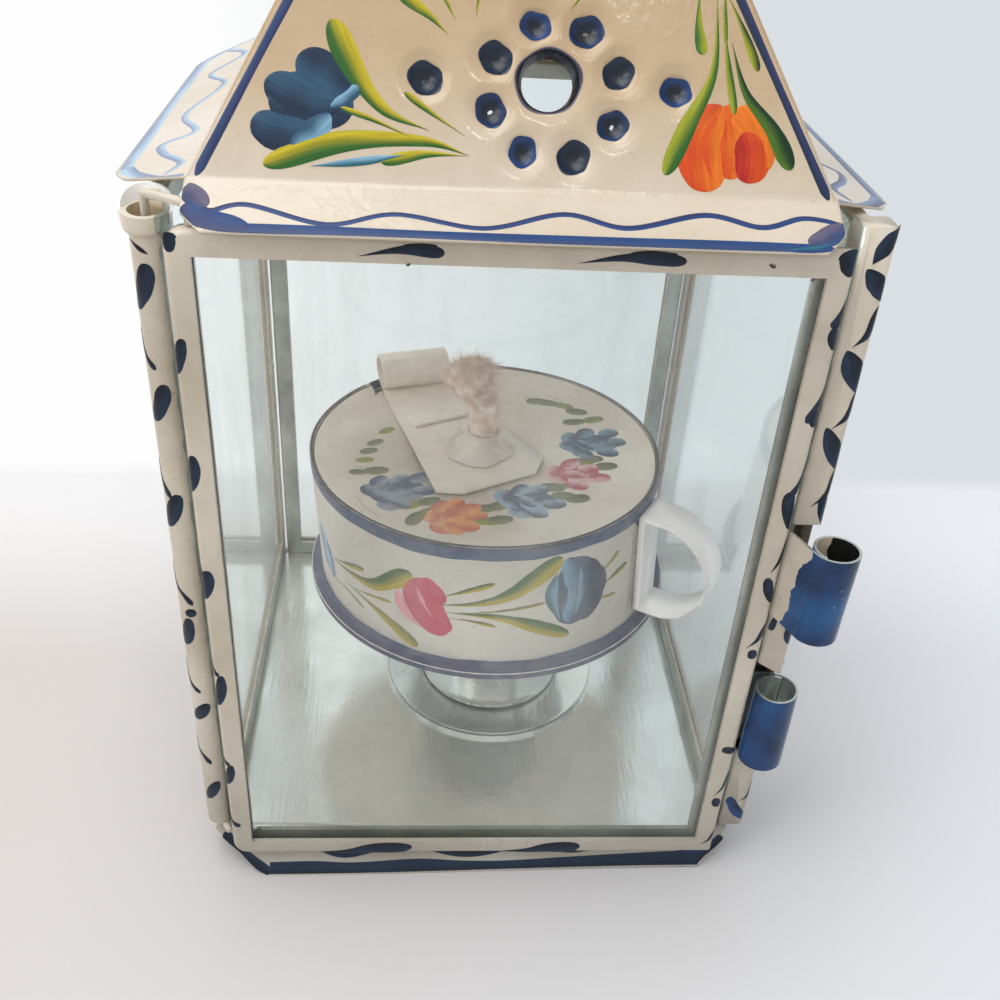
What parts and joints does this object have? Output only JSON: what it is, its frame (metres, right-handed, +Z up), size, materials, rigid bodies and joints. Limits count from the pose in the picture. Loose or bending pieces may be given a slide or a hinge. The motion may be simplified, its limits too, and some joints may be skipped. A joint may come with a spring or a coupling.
{
  "type": "oil lantern",
  "caption": "Square painted tinplate oil lantern with glazed sides, a hinged glass door, a pierced pyramid roof and a lift-out round oil burner.",
  "frame": {"origin": "on the ground under the middle of the whole lantern's bounding box", "axes": "+Z up, -Y towards the door, +X towards the latch side, which is on the right when facing the door"},
  "size_m": [0.1566, 0.1526, 0.2782],
  "materials": {
    "enamel": "cream gloss paint, hand decorated",
    "roof_enamel": "warm cream gloss paint, hand decorated",
    "burner_enamel": "pale cream satin paint, hand decorated",
    "blue_enamel": "blue gloss paint, chipped at the edges",
    "bare_tin": "bare bright tinplate",
    "wire_steel": "dull drawn wire",
    "wick_cotton": "loose cotton",
    "clear_glass": "clear sheet"
  },
  "bodies": {
    "lantern": {"base_tray": "bare_tin", "burner_socket": "bare_tin", "drip_dish": "bare_tin", "left_bottom_rail": "enamel", "left_top_rail": "enamel", "left_rear_stile": "enamel", "left_hinge_post": "enamel", "left_glass": "clear_glass", "right_bottom_rail": "enamel", "right_top_rail": "enamel", "right_rear_stile": "enamel", "right_latch_post": "enamel", "right_glass": "clear_glass", "back_bottom_rail": "enamel", "back_top_rail": "enamel", "back_left_stile": "enamel", "back_right_stile": "enamel", "back_glass": "clear_glass", "body_latch_tube": "blue_enamel", "roof_front": "roof_enamel", "roof_back": "roof_enamel", "roof_left": "roof_enamel", "roof_right": "roof_enamel", "roof_cap": "blue_enamel", "ring_lug": "enamel"},
    "door": {"door_bottom_rail": "enamel", "door_top_rail": "enamel", "door_left_stile": "enamel", "door_right_stile": "enamel", "door_glass": "clear_glass", "hinge_wire": "wire_steel", "door_latch_tube": "blue_enamel"},
    "burner": {"burner_drum": "burner_enamel", "burner_base": "burner_enamel", "burner_lid": "burner_enamel", "burner_spigot": "bare_tin", "burner_handle": "burner_enamel"},
    "wick_holder": {"wick_carrier": "burner_enamel", "wick_cross_strip": "burner_enamel", "wick_tube": "burner_enamel"},
    "wick": {"wick": "wick_cotton"},
    "ring": {"carry_ring": "wire_steel"}
  },
  "joints": [
    {"name": "door_hinge", "type": "hinge", "parent": "lantern", "child": "door", "pos_m": [-0.0693, -0.05926, 0.099], "axis": [0, 0, -1], "range_deg": [0, 110]},
    {"name": "burner_lift", "type": "slide", "parent": "lantern", "child": "burner", "axis": [-0.0599, 0, 0.9982], "range_m": [0, 0.02]},
    {"name": "wick_holder_lift", "type": "slide", "parent": "burner", "child": "wick_holder", "axis": [-0.0599, 0, 0.9982], "range_m": [0, 0.03]},
    {"name": "wick_raise", "type": "slide", "parent": "wick_holder", "child": "wick", "axis": [-0.0599, 0, 0.9982], "range_m": [0, 0.008]},
    {"name": "ring_swing", "type": "hinge", "parent": "lantern", "child": "ring", "pos_m": [-0.0007, 0.00164, 0.2749], "axis": [1, 0, 0], "range_deg": [0, 189]}
  ]
}
